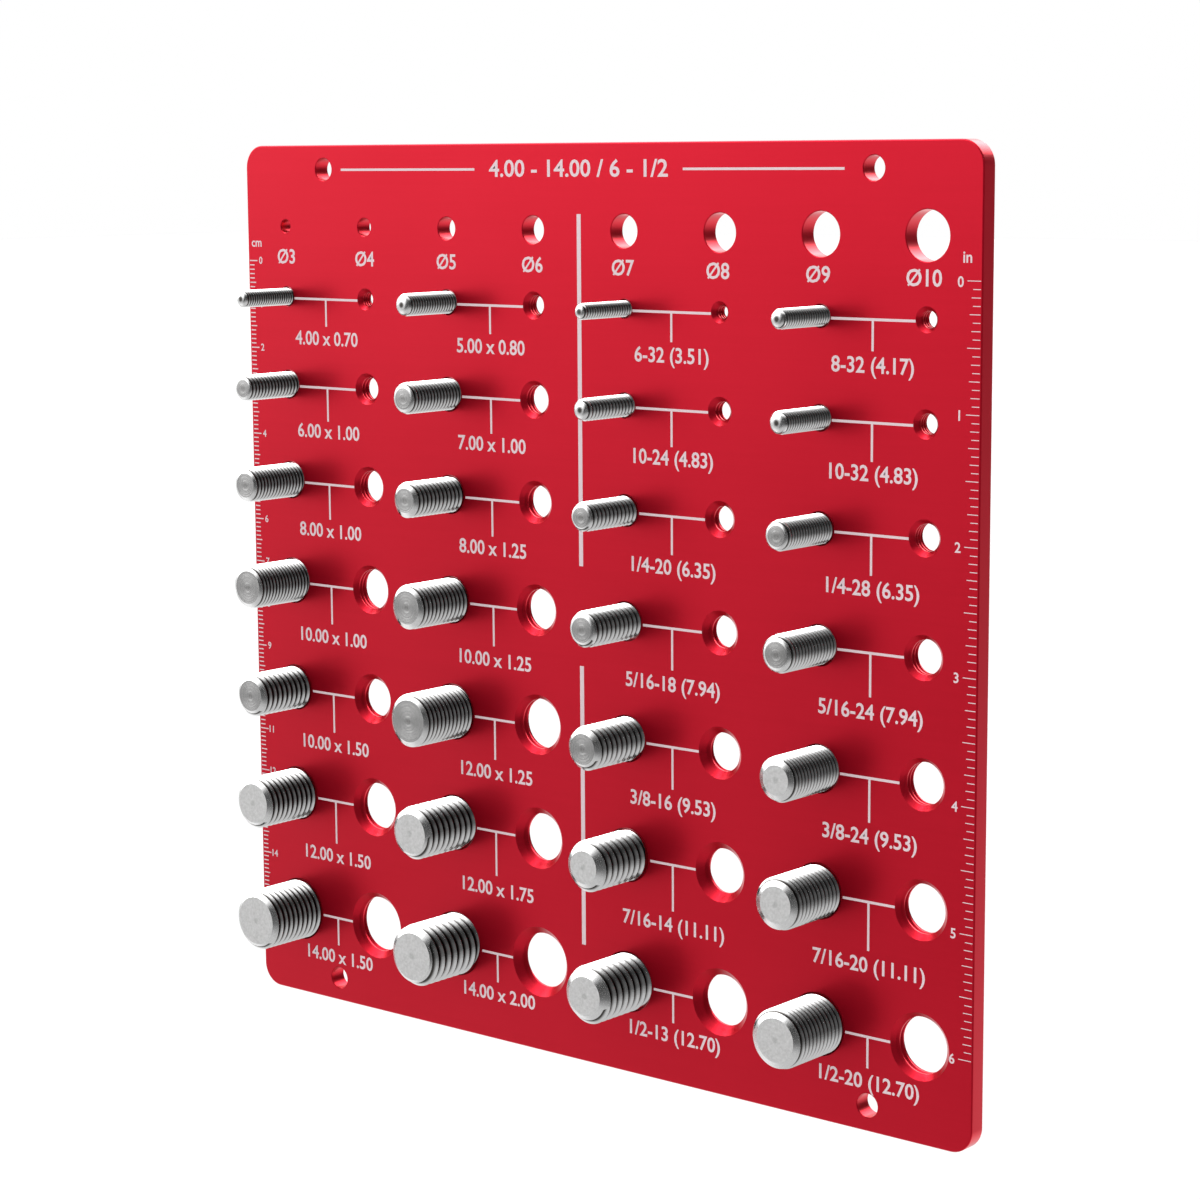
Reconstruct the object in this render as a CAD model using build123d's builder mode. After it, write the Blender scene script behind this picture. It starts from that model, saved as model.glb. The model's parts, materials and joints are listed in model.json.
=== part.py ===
from build123d import *
import os

# A thread checker that hangs on a wall. A nut is tried on one of the studs, a bolt in the tapped
# hole to the right of that stud, and a pin or a plain shank in the row of gauge holes at the top.
# The origin is the middle of the plate's back face. X runs right, Z runs up, and the studs point
# to the front, along -Y.

# Driving sizes, in millimetres.
plate_thickness = 4
corner_radius = 5
edge_break = 0.3

# Studs and tapped holes stand in columns of one pitch. The rows open out as the threads grow.
column_pitch = 25
side_margin = 12.5
first_row_drop = 34.2
row_gaps = [20.1, 22.1, 23.5, 25.2, 25.3, 27.9]
foot_margin = 20.1

gauge_row_drop = 18.2
gauge_diameters = [3, 4, 5, 6, 7, 8, 9, 10]

mount_hole_diameter = 5
mount_inset_x = 25
mount_inset_z = 5.4

stud_length = 14.5
stud_allowance = 0.05
bore_allowance = 0.05


def number_size(number):
    """Diameter of a numbered inch screw, in millimetres."""
    return (0.060 + 0.013 * number) * IN


# Nominal thread diameters, one column of studs after the other and from the top row down.
thread_columns = [
    {
        "m4x0_7": 4,
        "m6x1_0": 6,
        "m8x1_0": 8,
        "m10x1_0": 10,
        "m10x1_5": 10,
        "m12x1_5": 12,
        "m14x1_5": 14,
    },
    {
        "m5x0_8": 5,
        "m7x1_0": 7,
        "m8x1_25": 8,
        "m10x1_25": 10,
        "m12x1_25": 12,
        "m12x1_75": 12,
        "m14x2_0": 14,
    },
    {
        "6_32": number_size(6),
        "10_24": number_size(10),
        "1_4_20": 1 / 4 * IN,
        "5_16_18": 5 / 16 * IN,
        "3_8_16": 3 / 8 * IN,
        "7_16_14": 7 / 16 * IN,
        "1_2_13": 1 / 2 * IN,
    },
    {
        "8_32": number_size(8),
        "10_32": number_size(10),
        "1_4_28": 1 / 4 * IN,
        "5_16_24": 5 / 16 * IN,
        "3_8_24": 3 / 8 * IN,
        "7_16_20": 7 / 16 * IN,
        "1_2_20": 1 / 2 * IN,
    },
]

# Sizes that follow. Each stud takes one column and its tapped hole takes the next.
row_drops = [first_row_drop + sum(row_gaps[:row]) for row in range(len(row_gaps) + 1)]
plate_width = (2 * len(thread_columns) - 1) * column_pitch + 2 * side_margin
plate_height = row_drops[-1] + foot_margin
mount_spacing_x = plate_width - 2 * mount_inset_x
mount_spacing_z = plate_height - 2 * mount_inset_z
front_face = Plane.XZ.offset(plate_thickness)


def place(column, drop):
    """A spot on the front face, by its column from the left and its drop from the upper edge."""
    return (side_margin + column * column_pitch - plate_width / 2, plate_height / 2 - drop)


os.makedirs("parts", exist_ok=True)

# The plate: rolled aluminium with rounded corners and broken edges, drilled and tapped through.
with BuildPart() as plate:
    with BuildSketch(front_face):
        RectangleRounded(plate_width, plate_height, corner_radius)
    extrude(amount=-plate_thickness)
    chamfer(plate.faces().filter_by(Axis.Y).edges(), edge_break)

    with BuildSketch(front_face):
        with GridLocations(mount_spacing_x, mount_spacing_z, 2, 2):
            Circle(mount_hole_diameter / 2)
        for column, diameter in enumerate(gauge_diameters):
            with Locations(place(column, gauge_row_drop)):
                Circle(diameter / 2)
        for column, threads in enumerate(thread_columns):
            for diameter, drop in zip(threads.values(), row_drops):
                with Locations(place(2 * column + 1, drop)):
                    Circle(diameter / 2 + bore_allowance)
    extrude(amount=-plate_thickness, mode=Mode.SUBTRACT)
plate.part.label = "plate"
export_step(plate.part, "parts/plate.step")

# The studs: turned steel, each seated square on the plate's front face to the left of its hole.
for column, threads in enumerate(thread_columns):
    for (size, diameter), drop in zip(threads.items(), row_drops):
        with BuildPart() as stud:
            with BuildSketch(front_face):
                with Locations(place(2 * column, drop)):
                    Circle(diameter / 2 - stud_allowance)
            extrude(amount=stud_length)
        stud.part.label = f"stud_{size}"
        export_step(stud.part, f"parts/stud_{size}.step")
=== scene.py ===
import json
import math

import bmesh
import bpy
from mathutils import Matrix, Vector


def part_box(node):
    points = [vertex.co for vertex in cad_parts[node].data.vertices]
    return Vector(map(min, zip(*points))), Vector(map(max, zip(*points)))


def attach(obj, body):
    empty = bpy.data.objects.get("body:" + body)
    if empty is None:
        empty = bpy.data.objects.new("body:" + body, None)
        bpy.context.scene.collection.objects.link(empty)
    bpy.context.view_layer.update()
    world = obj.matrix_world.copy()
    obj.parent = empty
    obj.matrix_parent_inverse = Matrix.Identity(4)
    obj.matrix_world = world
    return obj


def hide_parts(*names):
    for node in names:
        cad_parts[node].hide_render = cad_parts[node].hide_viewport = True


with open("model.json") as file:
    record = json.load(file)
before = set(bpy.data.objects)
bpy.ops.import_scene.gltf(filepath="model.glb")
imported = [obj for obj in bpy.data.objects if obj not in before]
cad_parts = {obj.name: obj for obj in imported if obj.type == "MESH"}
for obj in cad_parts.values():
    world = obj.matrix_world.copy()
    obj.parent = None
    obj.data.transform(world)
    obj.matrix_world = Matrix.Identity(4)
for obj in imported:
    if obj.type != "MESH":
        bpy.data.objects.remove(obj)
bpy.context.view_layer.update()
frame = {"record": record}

# Plate. One sheet of rolled aluminium, 4 mm thick, cut square with rounded corners and broken
# edges. It is drilled, countersunk and tapped right through before it is anodised red. Each stud
# stands in a shallow pocket, and the walls of the tapped holes carry the real threads.
mm = 0.001
inch = 25.4 * mm
mounts = {mount["name"]: mount for mount in frame["record"]["mounts"]}
sizes = [name.removeprefix("tapped_") for name in mounts if name.startswith("tapped_")]
low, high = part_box("plate")
front, back = low.y, high.y
thickness = back - front

corner_radius = 5 * mm
corner_steps = 12
edge_break = 0.3 * mm
edge_steps = 3
gauge_break = 0.15 * mm
deburred = 0.1 * mm
sink_inset = 0.25 * mm
pocket_depth = 0.5 * mm
pocket_lip = 0.35 * mm
pocket_grip = 0.1 * mm
plate_smooth_angle = math.radians(35)

# Each cutting shape reaches past the sheet, so that no cut ends on a face, and a threaded rod is
# made with spare turns before it is cut to length.
overshoot = 1 * mm
spare_turns = 3
drill_steps = 64
thread_steps = 72

# One turn of a thread: its flats and flanks as shares of the pitch, measured along the axis, and
# its depth from root to crest, as a share of the pitch too.
root_flat = 0.25
crest_flat = 0.006
flank = (1 - root_flat - crest_flat) / 2
bolt_thread_depth = 0.54
tapped_thread_depth = 0.42


def thread_of(size):
    """Nominal diameter and pitch of a thread, from the name of its size in the model."""
    if size.startswith("m"):
        diameter, pitch = size[1:].replace("_", ".").split("x")
        return float(diameter) * mm, float(pitch) * mm
    *screw, turns_per_inch = (int(part) for part in size.split("_"))
    if len(screw) == 2:
        diameter = screw[0] / screw[1] * inch
    else:
        diameter = (0.060 + 0.013 * screw[0]) * inch
    return diameter, inch / turns_per_inch


def countersink(pitch):
    """How far the countersunk rim of a tapped hole stands out from its thread."""
    return 0.2 * mm + 0.35 * pitch


def pick(kind, test):
    """Selects, in edit mode, only the verts, edges or faces that pass a test."""
    mesh = bpy.context.edit_object.data
    bpy.ops.mesh.select_all(action="DESELECT")
    bpy.context.tool_settings.mesh_select_mode = [kind == each for each in ("verts", "edges", "faces")]
    shape = bmesh.from_edit_mesh(mesh)
    for item in getattr(shape, kind):
        if test(item):
            item.select_set(True)
    shape.select_flush_mode()
    bmesh.update_edit_mesh(mesh)


def runs_through(edge):
    """Tells an edge that runs through the sheet from one that lies along a face."""
    return abs(edge.verts[0].co.y - edge.verts[1].co.y) > thickness / 2


def hold(*pieces):
    """Selects these pieces alone, the first of them active."""
    bpy.ops.object.select_all(action="DESELECT")
    for piece in pieces:
        piece.select_set(True)
    bpy.context.view_layer.objects.active = pieces[0]


def settle(name):
    """Merges doubled points, turns the faces outwards and puts the piece's place into its mesh."""
    bpy.ops.object.mode_set(mode="EDIT")
    bpy.ops.mesh.select_all(action="SELECT")
    bpy.ops.mesh.remove_doubles(threshold=1e-7)
    bpy.ops.mesh.normals_make_consistent(inside=False)
    bpy.ops.object.mode_set(mode="OBJECT")
    bpy.ops.object.transform_apply(location=True, rotation=True, scale=True)
    piece = bpy.context.object
    piece.name = piece.data.name = name
    return piece


def turned(name, x, z, stations, steps=drill_steps):
    """A turned shape on an axis along Y, through stations of y and radius, from back to front."""
    y, radius = stations[0]
    bpy.ops.object.select_all(action="DESELECT")
    bpy.ops.mesh.primitive_circle_add(
        vertices=steps, radius=radius, fill_type="NGON", location=(x, y, z), rotation=(math.pi / 2, 0, 0)
    )
    bpy.ops.object.transform_apply(location=True, rotation=True, scale=True)
    bpy.ops.object.mode_set(mode="EDIT")
    bpy.ops.mesh.select_all(action="SELECT")
    for next_y, next_radius in stations[1:]:
        bpy.ops.mesh.extrude_region_move(TRANSFORM_OT_translate={"value": (0, next_y - y, 0)})
        spread = next_radius / radius
        bpy.ops.transform.resize(value=(spread, 1, spread), center_override=(x, next_y, z))
        y, radius = next_y, next_radius
    return settle(name)


def threaded(name, x, z, back_y, front_y, radius, pitch, depth):
    """A right-handed threaded rod on an axis along Y, cut square at both ends."""
    root = radius - depth * pitch
    bpy.ops.object.select_all(action="DESELECT")
    bpy.ops.mesh.primitive_plane_add(size=mm, location=(0, 0, 0))
    bpy.ops.object.mode_set(mode="EDIT")
    bpy.ops.mesh.select_mode(type="VERT")
    bpy.ops.mesh.select_all(action="SELECT")
    bpy.ops.mesh.merge(type="CENTER")
    bpy.ops.transform.translate(value=(root, 0, 0))
    for outward, along in ((0, root_flat), (1, flank), (0, crest_flat), (-1, flank)):
        step = (outward * (radius - root), along * pitch, 0)
        bpy.ops.mesh.extrude_vertices_move(TRANSFORM_OT_translate={"value": step})
    bpy.ops.object.mode_set(mode="OBJECT")
    rod = bpy.context.object
    screw = rod.modifiers.new("screw", "SCREW")
    screw.axis = "Y"
    screw.angle = 2 * math.pi
    screw.screw_offset = pitch
    screw.iterations = math.ceil((back_y - front_y) / pitch) + spare_turns
    screw.steps = screw.render_steps = thread_steps
    bpy.ops.object.modifier_apply(modifier=screw.name)
    rod.location = (x, front_y - spare_turns / 2 * pitch, z)
    settle(name)
    bpy.ops.object.mode_set(mode="EDIT")
    for y, outside in ((front_y, -1), (back_y, 1)):
        bpy.ops.mesh.select_all(action="SELECT")
        bpy.ops.mesh.bisect(
            plane_co=(x, y, z), plane_no=(0, outside, 0), use_fill=True, clear_outer=True, threshold=1e-7
        )
    bpy.ops.object.mode_set(mode="OBJECT")
    return settle(name)


def combine(piece, operation, tool):
    """Cuts a piece with a tool, or keeps what both share, and drops the tool."""
    hold(piece)
    cut = piece.modifiers.new("cut", "BOOLEAN")
    cut.operation = operation
    cut.solver = "MANIFOLD"
    cut.object = tool
    bpy.ops.object.modifier_apply(modifier=cut.name)
    bpy.data.objects.remove(tool)


def join(name, pieces):
    """Joins pieces into one."""
    hold(*pieces)
    bpy.ops.object.join()
    piece = bpy.context.object
    piece.name = piece.data.name = name
    return piece


bpy.ops.object.select_all(action="DESELECT")
bpy.ops.mesh.primitive_cube_add(size=1, location=(low + high) / 2, scale=high - low)
bpy.ops.object.transform_apply(location=True, rotation=True, scale=True)
bpy.ops.object.mode_set(mode="EDIT")
pick("edges", runs_through)
bpy.ops.mesh.bevel(offset=corner_radius, segments=corner_steps, affect="EDGES")
pick("edges", lambda edge: not runs_through(edge))
bpy.ops.mesh.bevel(offset=edge_break, segments=edge_steps, affect="EDGES")
plate = settle("anodised_plate")

# Four holes for the wall and a row of gauge holes, all plain, with their edges broken.
wall = mounts["wall_holes"]["dims"]
plain_holes = [
    (side * wall["spacing_x_mm"] / 2 * mm, level * wall["spacing_y_mm"] / 2 * mm, wall["hole_r_mm"] * mm)
    for side in (-1, 1)
    for level in (-1, 1)
]
gauges = [mount for name, mount in mounts.items() if name.startswith("gauge_hole")]
for gauge in gauges:
    plain_holes.append((gauge["pos_m"][0], gauge["pos_m"][2], gauge["dims"]["r_mm"] * mm))
drills = []
for x, z, radius in plain_holes:
    wide = radius + gauge_break
    stations = [
        (back + overshoot, wide + overshoot),
        (back - gauge_break, radius),
        (front + gauge_break, radius),
        (front - overshoot, wide + overshoot),
    ]
    drills.append(turned("drill", x, z, stations))

# A tapped hole for each size, countersunk in front and deburred behind, and a pocket for its stud.
sinks = []
for size in sizes:
    diameter, pitch = thread_of(size)
    radius = diameter / 2
    x, _, z = mounts["tapped_" + size]["pos_m"]
    drills.append(
        threaded("tap", x, z, back + overshoot, front - overshoot, radius, pitch, tapped_thread_depth)
    )
    bottom = radius - tapped_thread_depth * pitch - sink_inset
    for face, outside, rim in ((front, -1, radius + countersink(pitch)), (back, 1, radius + deburred)):
        stations = [
            (face - outside * (rim - bottom), bottom),
            (face, rim),
            (face + outside * overshoot, rim + overshoot),
        ]
        sinks.append(turned("sink", x, z, stations))
    x, _, z = mounts["stud_" + size]["pos_m"]
    stations = [
        (front + pocket_depth, radius - pocket_grip),
        (front, radius + pocket_lip),
        (front - overshoot, radius + pocket_lip + overshoot),
    ]
    sinks.append(turned("pocket", x, z, stations))
combine(plate, "DIFFERENCE", join("drills", drills))
combine(plate, "DIFFERENCE", join("sinks", sinks))
hold(plate)
bpy.ops.object.shade_smooth_by_angle(angle=plate_smooth_angle)
weighted = plate.modifiers.new("weighted", "WEIGHTED_NORMAL")
weighted.keep_sharp = True
bpy.ops.object.modifier_apply(modifier=weighted.name)


class Wire:
    """An output in a material. Sums and products of wires add Math nodes."""

    def __init__(self, tree, socket=None):
        self.tree, self.socket = tree, socket

    def node(self, kind, settings=None, inputs=None, output=0):
        """Adds a node: its settings first, then the values or wires of its sockets."""
        made = self.tree.nodes.new(kind)
        for name, value in (settings or {}).items():
            setattr(made, name, value)
        for name, value in (inputs or {}).items():
            if isinstance(value, Wire):
                self.tree.links.new(value.socket, made.inputs[name])
            else:
                made.inputs[name].default_value = value
        return Wire(self.tree, made.outputs[output]) if made.outputs else None

    def maths(self, operation, first, second):
        """Adds a Math node."""
        return self.node("ShaderNodeMath", {"operation": operation}, {0: first, 1: second})

    def __add__(self, other):
        return self.maths("ADD", self, other)

    def __sub__(self, other):
        return self.maths("SUBTRACT", self, other)

    def __mul__(self, other):
        return self.maths("MULTIPLY", self, other)

    def __rsub__(self, other):
        return self.maths("SUBTRACT", other, self)

    __radd__, __rmul__ = __add__, __mul__


def new_finish(name, constants):
    """A material with its shader's constant sockets set, and a wire to start its nodes from."""
    material = bpy.data.materials.new(name)
    material.use_nodes = True
    shader = material.node_tree.nodes["Principled BSDF"]
    for socket, value in constants.items():
        shader.inputs[socket].default_value = value
    return material, shader, Wire(material.node_tree)


def feed(shader, socket, wire):
    """Joins a wire to a socket of the shader."""
    wire.tree.links.new(wire.socket, shader.inputs[socket])


def blend_colours(factor, first, second):
    """A colour between two others. A Mix node's colour sockets are known by their numbers alone."""
    settings = {"data_type": "RGBA", "clamp_factor": True}
    return factor.node("ShaderNodeMix", settings, {0: factor, 6: first, 7: second}, 2)


def stretched(place, scale):
    """A place for a pattern, with its features drawn out or pressed together along each axis."""
    return place.node("ShaderNodeMapping", None, {"Vector": place, "Scale": scale})


def noise(place, scale, detail, roughness=0.5):
    """Noise from 0 to 1 at a place, with a scale in features per metre."""
    inputs = {"Vector": place, "Scale": scale, "Detail": detail, "Roughness": roughness}
    return place.node("ShaderNodeTexNoise", {"noise_dimensions": "3D"}, inputs, "Fac")


red_deep = (0.50, 0.0035, 0.016, 1)
red_light = (0.60, 0.0055, 0.025, 1)
red_finish, shader, wire = new_finish(
    "red_anodise", {"Metallic": 0.72, "Specular IOR Level": 0.25, "Coat IOR": 1.45, "Coat Roughness": 0.35}
)
place = wire.node("ShaderNodeTexCoord", output="Object")
cloud = noise(place, 22, 3.0)
streaks = noise(stretched(place, (0.03, 1, 1)), 1400, 3.0, 0.6)
grain = noise(place, 5200, 2.0, 0.6)
tone = cloud * 0.5 + streaks * 0.3 + grain * 0.2
feed(shader, "Base Color", blend_colours(tone, red_deep, red_light))
feed(shader, "Roughness", 0.26 + streaks * 0.05 + grain * 0.04)
feed(shader, "Coat Weight", 0.06 + cloud * 0.06)
bump = {"Strength": 0.25, "Distance": 0.02 * mm, "Height": grain * 0.7 + streaks * 0.3}
feed(shader, "Normal", wire.node("ShaderNodeBump", None, bump, "Normal"))
plate.data.materials.clear()
plate.data.materials.append(red_finish)
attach(plate, "root")
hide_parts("plate")

# Studs. Each is a length of steel bar, threaded with a single-point tool and pressed square into
# its pocket. The smallest have a domed tip, the next ones a rounded edge, and the others a chamfer
# that cuts into the thread. Flat ends keep the rings and centre mark of facing, or are fine ground.
# The thread's grooves and the flanks turned to the plate are painted dark as painted shade, and the
# domed tips get a dark core painted at their middle, a painted reflection.
stud_allowance = 0.05 * mm
stud_steps = 96

# The smoothing stays under the slope of a chamfer, so that a flat end keeps its edge. The other two
# say how far a face has to point along Y to be an end face, or a flank that is turned to the plate,
# which is painted dark as painted shade.
stud_smooth_angle = math.radians(24)
end_face_from = 0.99
far_flank_from = 0.3

# Curved tips, with the radius of the flat end and the length of the curve as shares of the radius.
domed_below = 5.5 * mm
domed_tip = (0.3, 0.62)
rounded_below = 7.97 * mm
rounded_tip = (0.6, 0.36)
round_steps = 8

# Chamfered tips. Their length is a share of the chamfer's width across the end.
chamfer_least = 0.7 * mm
chamfer_for_pitch = 0.45
chamfer_more = 0.45 * mm
chamfer_length = 0.62
long_chamfers = ("3_8_24", "7_16_14", "7_16_20", "1_2_13", "1_2_20")
ground_tips = long_chamfers + ("m12x1_5", "m12x1_75", "m14x1_5", "m14x2_0")


def tip_stations(size, radius, y):
    """The outline of a stud's tip from its widest part to its flat end, which is at y."""
    diameter, pitch = thread_of(size)
    if diameter < rounded_below:
        flat, reach = domed_tip if diameter < domed_below else rounded_tip
        arc = [math.radians(90 * step / round_steps) for step in range(round_steps + 1)]
        return [
            (y + reach * radius * (1 - math.sin(a)), radius * (flat + (1 - flat) * math.cos(a))) for a in arc
        ]
    width = chamfer_least + chamfer_for_pitch * pitch + (chamfer_more if size in long_chamfers else 0)
    return [(y + chamfer_length * width, radius), (y, radius - width)]


def painted(wire, name, output="Fac"):
    """A value that is written on the mesh, read back in the material."""
    return wire.node("ShaderNodeAttribute", {"attribute_name": name}, None, output)


def vector_math(operation, first, second=None, output="Vector"):
    """A vector made from others, or a number such as its length."""
    inputs = {0: first} if second is None else {0: first, "Scale" if operation == "SCALE" else 1: second}
    return first.node("ShaderNodeVectorMath", {"operation": operation}, inputs, output)


def fade(value, start, end):
    """0 up to a start, 1 from an end, and smooth between them."""
    inputs = {"Value": value, "From Min": start, "From Max": end}
    return value.node("ShaderNodeMapRange", {"interpolation_type": "SMOOTHSTEP"}, inputs, "Result")


# Steel from light to dark. The dark end serves the real tool marks, facing and grinding, and also the
# painted shade in the grooves and on the flanks turned to the plate, and the painted dark core of the domed
# tips.
steel_light = (0.80, 0.80, 0.80, 1)
steel_dark = (0.06, 0.055, 0.05, 1)
steel_finish, shader, wire = new_finish("turned_steel", {"Metallic": 1.0})
place = wire.node("ShaderNodeTexCoord", output="Object")
across = painted(wire, "from_axis", "Vector")
machined = painted(wire, "machined")
faced = painted(wire, "faced")
ground = painted(wire, "ground")
# Painted shade: flanks turned to the plate are painted dark, and are also made dull so that they don't
# mirror the red plate.
far_flank = painted(wire, "far_flank")
dimple = painted(wire, "dimple")
# Painted shade: the thread's grooves are painted darker towards their roots.
depth = fade(painted(wire, "thread_depth"), 0.3, 0.9) * (1 - machined)
reach = vector_math("LENGTH", across, None, "Value")
turning_rings = {"W": reach, "Scale": 14000.0, "Detail": 1.0}
rings = wire.node("ShaderNodeTexNoise", {"noise_dimensions": "1D"}, turning_rings, "Fac")
# The centre mark of facing on flat ends. On domed tips a strong dark core is painted there instead: a
# painted dark reflection.
centre_mark_and_painted_core = fade(reach, 0.95 * mm, 0.3 * mm) * dimple
tool_marks = noise(stretched(place, (1, 6, 1)), 1500, 3.0, 0.6)
speckle = noise(place, 1800, 3.0, 0.6)
# The shade mixes the real finish (tool marks, facing, grinding) with painted shade in the grooves and on the
# far flanks, and with the centre mark and the domed tips' painted dark core.
shade = depth * 0.95 + far_flank + tool_marks * 0.2 + centre_mark_and_painted_core
shade = shade + faced * 0.48 + ground * (speckle * 0.4 + 0.1)
feed(shader, "Base Color", blend_colours(shade, steel_light, steel_dark))
feed(shader, "Metallic", 1 - wire.maths("MAXIMUM", far_flank * 0.9, ground * 0.6))
feed(shader, "Roughness", 0.12 + tool_marks * 0.1 + machined * 0.08 + ground * 0.3 + far_flank * 0.5)
normal = wire.node("ShaderNodeNewGeometry", output="Normal")
lean = vector_math("SCALE", vector_math("NORMALIZE", across), (rings - 0.5) * faced)
bump = {
    "Strength": 1.0,
    "Distance": 0.03 * mm,
    "Height": tool_marks * 0.1 + speckle * ground * 0.4,
    "Normal": vector_math("NORMALIZE", vector_math("ADD", normal, lean)),
}
feed(shader, "Normal", wire.node("ShaderNodeBump", None, bump, "Normal"))


def paint(piece, name, domain, values):
    """Writes a value for each point, face or corner of a mesh."""
    vector = isinstance(values[0], Vector)
    layer = piece.data.attributes.new(name, "FLOAT_VECTOR" if vector else "FLOAT", domain)
    for item, value in zip(layer.data, values):
        setattr(item, "vector" if vector else "value", value)


for size in sizes:
    node = "stud_" + size
    diameter, pitch = thread_of(size)
    radius = diameter / 2 - stud_allowance
    x, _, z = mounts[node]["pos_m"]
    foot = front + pocket_depth
    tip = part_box(node)[0].y
    # Domed tips get a strong painted dark core, a painted reflection. The others get a faint real centre
    # mark.
    mark_and_core_strength = 0.9 if diameter < domed_below else 0.15
    stud = threaded(
        "threaded_" + node, x, z, foot + overshoot, tip - overshoot, radius, pitch, bolt_thread_depth
    )
    shape = turned("outline", x, z, [(foot, radius)] + tip_stations(size, radius, tip), stud_steps)
    end_face = [1.0 if face.normal.y < -end_face_from else 0.0 for face in shape.data.polygons]
    plain_face = [0.0] * len(end_face)
    fine_ground = size in ground_tips
    with_rings = diameter >= domed_below and not fine_ground
    paint(shape, "machined", "FACE", [1.0] * len(end_face))
    paint(shape, "faced", "FACE", end_face if with_rings else plain_face)
    paint(shape, "ground", "FACE", end_face if fine_ground else plain_face)
    paint(shape, "dimple", "FACE", [end * mark_and_core_strength for end in end_face])
    combine(stud, "INTERSECT", shape)
    hold(stud)
    bpy.ops.object.shade_smooth_by_angle(angle=stud_smooth_angle)
    mesh = stud.data
    offsets = [Vector((vertex.co.x - x, 0, vertex.co.z - z)) for vertex in mesh.vertices]
    # How deep each point lies in the thread, for the painted shade in the grooves.
    full_depth = 0.5 * pitch
    depths = [min(1, max(0, (radius - offset.length) / full_depth)) for offset in offsets]
    # The flanks turned to the plate, which the finish paints dark as shade.
    backs = [face.normal.y > far_flank_from for face in mesh.polygons for corner in face.loop_indices]
    paint(stud, "from_axis", "POINT", offsets)
    paint(stud, "thread_depth", "POINT", depths)
    paint(stud, "far_flank", "CORNER", [1.0 if back_side else 0.0 for back_side in backs])
    mesh.materials.clear()
    mesh.materials.append(steel_finish)
    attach(stud, "root")
    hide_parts(node)

# Marks. The lines, the numbers and the two scales are burnt into the red finish with a laser, which
# leaves the metal pale and dry. They are modelled as a skin that is barely proud of the face.
skin = 0.02 * mm
sunk = 0.03 * mm
middle_of_skin = front + (sunk - skin) / 2
bars = []
numbers = []


def bar(left, right, bottom, top):
    """A burnt line on the front face, between four edges."""
    bpy.ops.object.select_all(action="DESELECT")
    bpy.ops.mesh.primitive_cube_add(
        size=1,
        location=((left + right) / 2, middle_of_skin, (bottom + top) / 2),
        scale=(right - left, sunk + skin, top - bottom),
    )
    piece = settle("bar")
    bars.append(piece)
    return piece


# The height of the font's capitals and the extra weight of its strokes, as shares of its size.
capital_height = 0.7
extra_weight = 0.016


def number(text, x, z, height, width=None):
    """Plain numbers or a unit sign, centred at x and z, of a given cap height and width."""
    bpy.ops.object.select_all(action="DESELECT")
    bpy.ops.object.text_add(location=(x, middle_of_skin, z), rotation=(math.pi / 2, 0, 0))
    words = bpy.context.object
    words.data.body = text
    words.data.size = height / capital_height
    words.data.align_x = "CENTER"
    words.data.align_y = "CENTER"
    words.data.extrude = (skin + sunk) / 2
    words.data.offset = extra_weight * height / capital_height
    words.data.resolution_u = 3
    bpy.ops.object.convert(target="MESH")
    words = bpy.context.object
    if width:
        words.scale.x = width / words.dimensions.x
    numbers.append(settle("number"))


def label_of(size):
    """The plain numbers of a size: diameter and pitch, or the screw's number with its diameter."""
    diameter, pitch = thread_of(size)
    if size.startswith("m"):
        return f"{diameter / mm:.2f} x {pitch / mm:.2f}"
    *screw, turns_per_inch = size.split("_")
    # A thousandth more makes a diameter that ends in a five round up.
    return f"{'/'.join(screw)}-{turns_per_inch} ({diameter / mm + 0.001:.2f})"


# A line with a stem joins each stud to its hole, and the size stands under the stem. The levels
# are in millimetres, from the top row down.
line_width = 0.535 * mm
line_drop = 0.35 * mm
label_height = 3.1 * mm
stem_bottoms = [58.5, 36.9, 14.4, -9.9, -35.3, -61.6, -86.0]
label_levels = [55.6, 34.4, 11.6, -13.1, -38.4, -64.8, -89.0]
rows = sorted({round(mounts["stud_" + size]["pos_m"][2], 5) for size in sizes}, reverse=True)
for size in sizes:
    diameter, pitch = thread_of(size)
    x, _, z = mounts["tapped_" + size]["pos_m"]
    middle = (x + mounts["stud_" + size]["pos_m"][0]) / 2
    arm = x - middle - diameter / 2 - countersink(pitch)
    level = z - line_drop
    bar(middle - arm, middle + arm, level - line_width / 2, level + line_width / 2)
    row = rows.index(round(z, 5))
    bar(middle - line_width / 2, middle + line_width / 2, stem_bottoms[row] * mm, level - line_width / 2)
    number(label_of(size), middle, label_levels[row] * mm, label_height)

# Two lines down the middle part the metric sizes from the inch sizes. The range of all sizes
# stands at the top, between two more lines.
divider_left, divider_right = -0.25 * mm, 0.85 * mm
for top, bottom in ((84.4, 10.0), (-11.6, -73.0)):
    bar(divider_left, divider_right, bottom * mm, top * mm)
header_bottom, header_top = 93.44 * mm, 93.96 * mm
for left, right in ((-69.4, -29.0), (28.1, 68.1)):
    bar(left * mm, right * mm, header_bottom, header_top)

number("4.00 - 14.00 / 6 - 1/2", x=-0.2 * mm, z=93.7 * mm, height=3.5 * mm, width=49 * mm)

# The gauge labels stand a little nearer to the middle than their holes do. They keep clear of the
# larger holes by standing lower than the label of the 4 mm hole.
gauge_label_height = 3.2 * mm
gauge_label_spread = 0.995
gauge_label_shift = -0.3 * mm
level_hole = 4 * mm
level_beside_it = 73.8 * mm
drop_for_diameter = 0.17
for gauge in gauges:
    diameter = 2 * gauge["dims"]["r_mm"]
    middle = gauge_label_spread * gauge["pos_m"][0] + gauge_label_shift
    level = level_beside_it - drop_for_diameter * (diameter * mm - level_hole)
    number(f"Ø{diameter:.0f}", middle, level, gauge_label_height)


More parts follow.
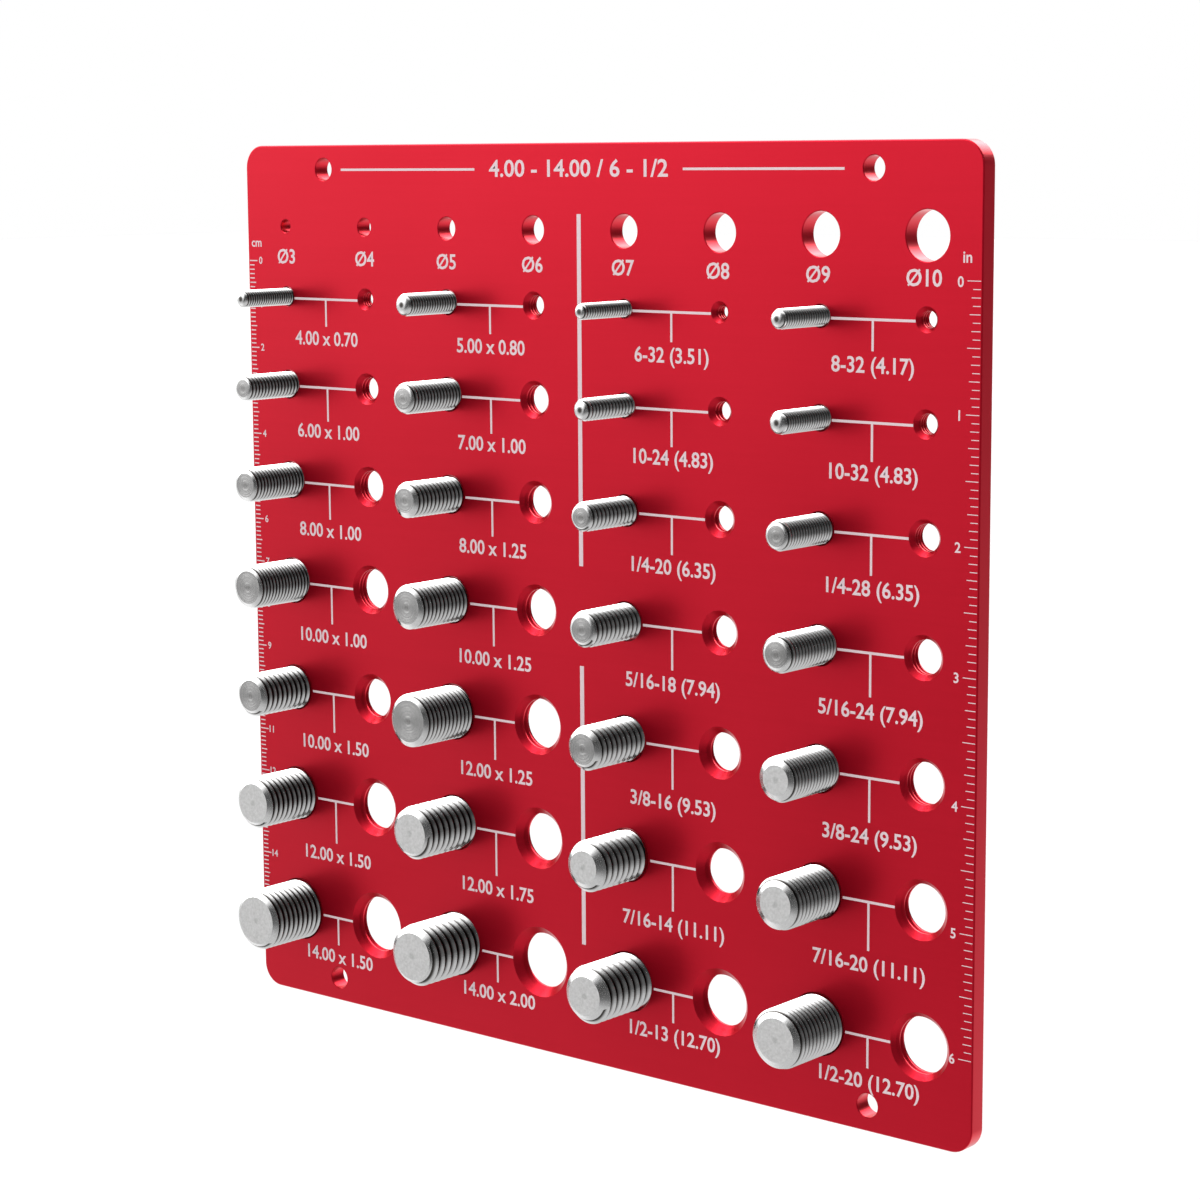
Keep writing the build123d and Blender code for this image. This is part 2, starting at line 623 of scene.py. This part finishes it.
def ticks(outer, length, tick, first, spacing, count):
    """A run of equal ticks down one side of the plate, from a first level and evenly spaced."""
    inner = outer - math.copysign(length, outer)
    left, right = sorted((outer, inner))
    run = bar(left, right, first - tick / 2, first + tick / 2)
    repeat = run.modifiers.new("repeat", "ARRAY")
    repeat.count = count
    repeat.use_relative_offset = False
    repeat.use_constant_offset = True
    repeat.constant_offset_displace = (0, 0, -spacing)
    hold(run)
    bpy.ops.object.modifier_apply(modifier=repeat.name)


# The two scales. Each run has the ticks' length in millimetres, then its first tick and spacing in
# the scale's own unit, and the number of ticks.
cm_edge, cm_zero = -99.5 * mm, 73.0 * mm
cm_tick = 0.26 * mm
for length, first, spacing, count in (
    (1.5, 0.1, 0.5, 30),
    (1.5, 0.2, 0.5, 30),
    (1.5, 0.3, 0.5, 30),
    (1.5, 0.4, 0.5, 30),
    (1.9, 0.5, 1, 15),
    (2.5, 0, 1, 16),
):
    ticks(cm_edge, length * mm, cm_tick, cm_zero - first * 10 * mm, spacing * 10 * mm, count)
for count in range(15):
    number(str(count), x=-95.9 * mm, z=cm_zero - 10 * count * mm, height=1.6 * mm)
number("cm", x=-97.1 * mm, z=77.1 * mm, height=2.0 * mm)

in_edge, in_zero = 99.6 * mm, 72.6 * mm
in_tick = 0.16 * mm
in_number_drop = 0.3 * mm
for length, first, spacing, count in (
    (1.7, 1 / 16, 1 / 8, 48),
    (2.0, 1 / 8, 1 / 4, 24),
    (2.4, 1 / 4, 1 / 2, 12),
    (2.9, 1 / 2, 1, 6),
    (3.0, 0, 1, 7),
):
    ticks(in_edge, length * mm, in_tick, in_zero - first * inch, spacing * inch, count)
for count in range(7):
    number(str(count), x=95.1 * mm, z=in_zero - count * inch - in_number_drop, height=2.0 * mm)
number("in", x=96.6 * mm, z=77.0 * mm, height=2.2 * mm)

mark_light = (0.76, 0.62, 0.65, 1)
mark_rough = (0.62, 0.48, 0.51, 1)
mark_finish, shader, wire = new_finish("laser_mark", {"Metallic": 0.0, "Roughness": 0.6})
place = wire.node("ShaderNodeTexCoord", output="Object")
speckle = noise(place, 6000, 2.0, 0.7)
feed(shader, "Base Color", blend_colours(speckle, mark_light, mark_rough))
bump = {"Strength": 0.2, "Distance": 0.01 * mm, "Height": speckle}
feed(shader, "Normal", wire.node("ShaderNodeBump", None, bump, "Normal"))
for name, pieces in (("marked_lines", bars), ("marked_numbers", numbers)):
    piece = join(name, pieces)
    piece.data.materials.clear()
    piece.data.materials.append(mark_finish)
    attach(piece, "root")

# Setting. A pale floor under the hanging plate, the camera of the photograph, and a soft studio.
# Only reflections see the studio's round softboxes. Diffuse light is even, and the camera itself
# sees plain white behind the object.
floor_drop = 160 * mm
bpy.ops.object.select_all(action="DESELECT")
bpy.ops.mesh.primitive_plane_add(size=20, location=(0, 0, low.z - floor_drop))
bpy.ops.object.transform_apply(location=True, rotation=True, scale=True)
floor = bpy.context.object
floor.name = "floor"
floor.visible_glossy = False
floor_finish, *_ = new_finish("pale_floor", {"Roughness": 0.9, "Base Color": (0.9, 0.9, 0.9, 1)})
floor.data.materials.append(floor_finish)

world = bpy.data.worlds.new("studio")
world.use_nodes = True
world.node_tree.nodes.clear()
world.cycles.sampling_method = "NONE"
bpy.context.scene.world = world
wire = Wire(world.node_tree)
seen = wire.node("ShaderNodeLightPath", output="Is Camera Ray")
mirrored = wire.node("ShaderNodeLightPath", output="Is Glossy Ray")
toward = wire.node("ShaderNodeTexCoord", output="Generated")


def direction(azimuth, elevation):
    """A unit vector at an azimuth from the front, to the right, and an elevation, in degrees."""
    a, e = math.radians(azimuth), math.radians(elevation)
    return (math.sin(a) * math.cos(e), -math.cos(a) * math.cos(e), math.sin(e))


def softbox(azimuth, elevation, inner, outer):
    """A round softbox far off, full inside one angle from its middle and faded out at another."""
    reach = vector_math("DOT_PRODUCT", toward, direction(azimuth, elevation), "Value")
    return fade(reach, math.cos(math.radians(outer)), math.cos(math.radians(inner)))


# Each softbox by its azimuth, its elevation and its two angles, in degrees, times its strength.
dark_room = 0.05
even_light = 1.15
studio = (
    dark_room
    + softbox(-80, 40, 22, 50) * 2.4
    + softbox(-78, 50, 8, 26) * 4
    + softbox(-37, 27, 14, 37) * 1.75
    + softbox(-72, -11, 20, 54) * 0.7
    + softbox(0, 90, 15, 50) * 1.5
    + softbox(0, -90, 45, 81) * 0.66
    + softbox(180, 42, 10, 32) * 5
    + softbox(-150, 5, 20, 50) * 1.5
    + softbox(140, -45, 15, 48) * 1.0
    + softbox(22, -8, 6, 24) * 0.08
    + softbox(0, 50, 10, 30) * 0.18
)
strength = seen + (1 - seen) * (mirrored * studio + (1 - mirrored) * even_light)
backdrop = wire.node("ShaderNodeBackground", None, {"Color": (1, 1, 1, 1), "Strength": strength})
wire.node("ShaderNodeOutputWorld", None, {"Surface": backdrop})

bpy.context.scene.view_settings.view_transform = "Standard"
camera_place = (0.401622, -0.477238, 0.096479)
azimuth, elevation, roll = (math.radians(angle) for angle in (39.934, 8.5953, -0.3728))
turn = (
    Matrix.Rotation(azimuth, 3, "Z")
    @ Matrix.Rotation(math.pi / 2 - elevation, 3, "X")
    @ Matrix.Rotation(roll, 3, "Z")
)
bpy.ops.object.camera_add(location=camera_place, rotation=turn.to_euler())
camera = bpy.context.object
camera.data.sensor_width = 36
camera.data.lens = 88.211
bpy.context.scene.camera = camera
